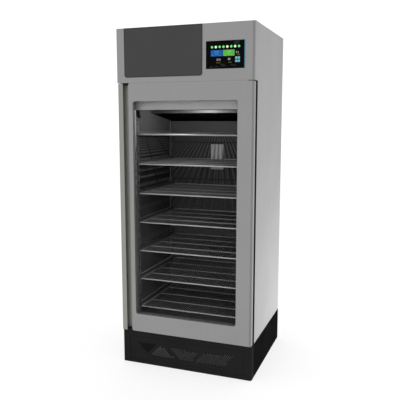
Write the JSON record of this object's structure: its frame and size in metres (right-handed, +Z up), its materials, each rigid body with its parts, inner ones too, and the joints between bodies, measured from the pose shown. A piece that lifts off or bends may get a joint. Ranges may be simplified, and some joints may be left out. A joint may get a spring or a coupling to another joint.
{
  "type": "fish curing cabinet",
  "caption": "Upright glazed cabinet that cools and cures fish on wire shelves, with a side-hinged door, a control head and a vented plinth.",
  "frame": {"origin": "middle of the cabinet's outer box on the floor", "axes": "+Z up, +X to the right as seen from the front, -Y out of the door"},
  "size_m": [0.854, 0.742, 2.08],
  "materials": {
    "front_steel": "satin brushed stainless steel",
    "side_steel": "light satin stainless steel sheet",
    "liner_steel": "satin stainless steel liner",
    "galvanised": "zinc-coated sheet",
    "dark_panel": "smooth dark grey panel",
    "screen_glass": "black glass over a display",
    "black_plastic": "black plastic",
    "grey_plastic": "light grey plastic",
    "glass": "clear glass",
    "aluminium": "satin anodised extrusion",
    "rubber": "soft black seal",
    "hinge_steel": "plain steel",
    "nylon": "white nylon",
    "wire_steel": "polished stainless wire",
    "fin_aluminium": "thin fins",
    "lamp_white": "white lamp lens",
    "plinth_paint": "black satin paint",
    "compressor_paint": "black gloss paint"
  },
  "bodies": {
    "cabinet": {"side_panel_left": "side_steel", "side_panel_right": "side_steel", "back_panel": "side_steel", "floor_panel": "front_steel", "ceiling_panel": "galvanised", "roof_cover": "side_steel", "chamber_liner": "liner_steel", "header_panel": "front_steel", "rear_service_cover": "galvanised", "head_fascia": "front_steel", "dark_front_panel": "dark_panel", "touch_screen_glass": "screen_glass", "touch_screen_housing": "black_plastic", "control_box": "grey_plastic", "hinge_plate_bottom": "hinge_steel", "hinge_plate_top": "hinge_steel", "hinge_pin_bottom": "hinge_steel", "hinge_pin_top": "hinge_steel", "shelf_1": "wire_steel", "shelf_2": "wire_steel", "shelf_3": "wire_steel", "shelf_4": "wire_steel", "shelf_5": "wire_steel", "shelf_6": "wire_steel", "shelf_7": "wire_steel", "rack_left": "liner_steel", "rack_right": "liner_steel", "evaporator_pan": "black_plastic", "pan_lip": "front_steel", "evaporator_fan_shroud": "galvanised", "evaporator_fan_motor": "black_plastic", "evaporator_coil": "fin_aluminium", "sensor_cover": "grey_plastic", "door_switch": "black_plastic", "chamber_lamp": "lamp_white", "plinth_front": "plinth_paint", "plinth_grille": "plinth_paint", "plinth_skirt": "plinth_paint", "base_plate": "galvanised", "foot_front_left": "black_plastic", "foot_front_right": "black_plastic", "foot_back_left": "black_plastic", "foot_back_right": "black_plastic", "condenser_coil": "fin_aluminium", "condenser_fan_shroud": "galvanised", "condenser_fan_motor": "black_plastic", "compressor": "compressor_paint", "evaporation_tray": "black_plastic", "mains_gland": "black_plastic"},
    "door": {"door_skin": "front_steel", "door_core": "black_plastic", "glass_outer": "glass", "glass_spacer": "aluminium", "glass_inner": "glass", "door_gasket": "rubber", "handle_profile": "aluminium", "hinge_bush_bottom": "nylon", "hinge_bush_top": "nylon"},
    "evaporator_fan": {"evaporator_fan_rotor": "black_plastic"},
    "condenser_fan": {"condenser_fan_rotor": "black_plastic"}
  },
  "joints": [
    {"name": "door_hinge", "type": "hinge", "parent": "cabinet", "child": "door", "pos_m": [0.405, -0.3565, 0.9907], "axis": [0, 0, 1], "range_deg": [0, 110]},
    {"name": "evaporator_fan_spin", "type": "hinge", "parent": "cabinet", "child": "evaporator_fan", "pos_m": [0, -0.026, 1.67514], "axis": [0, 1, 0], "continuous": true},
    {"name": "condenser_fan_spin", "type": "hinge", "parent": "cabinet", "child": "condenser_fan", "pos_m": [0.04, -0.2715, 0.0968], "axis": [0, 1, 0], "continuous": true}
  ]
}
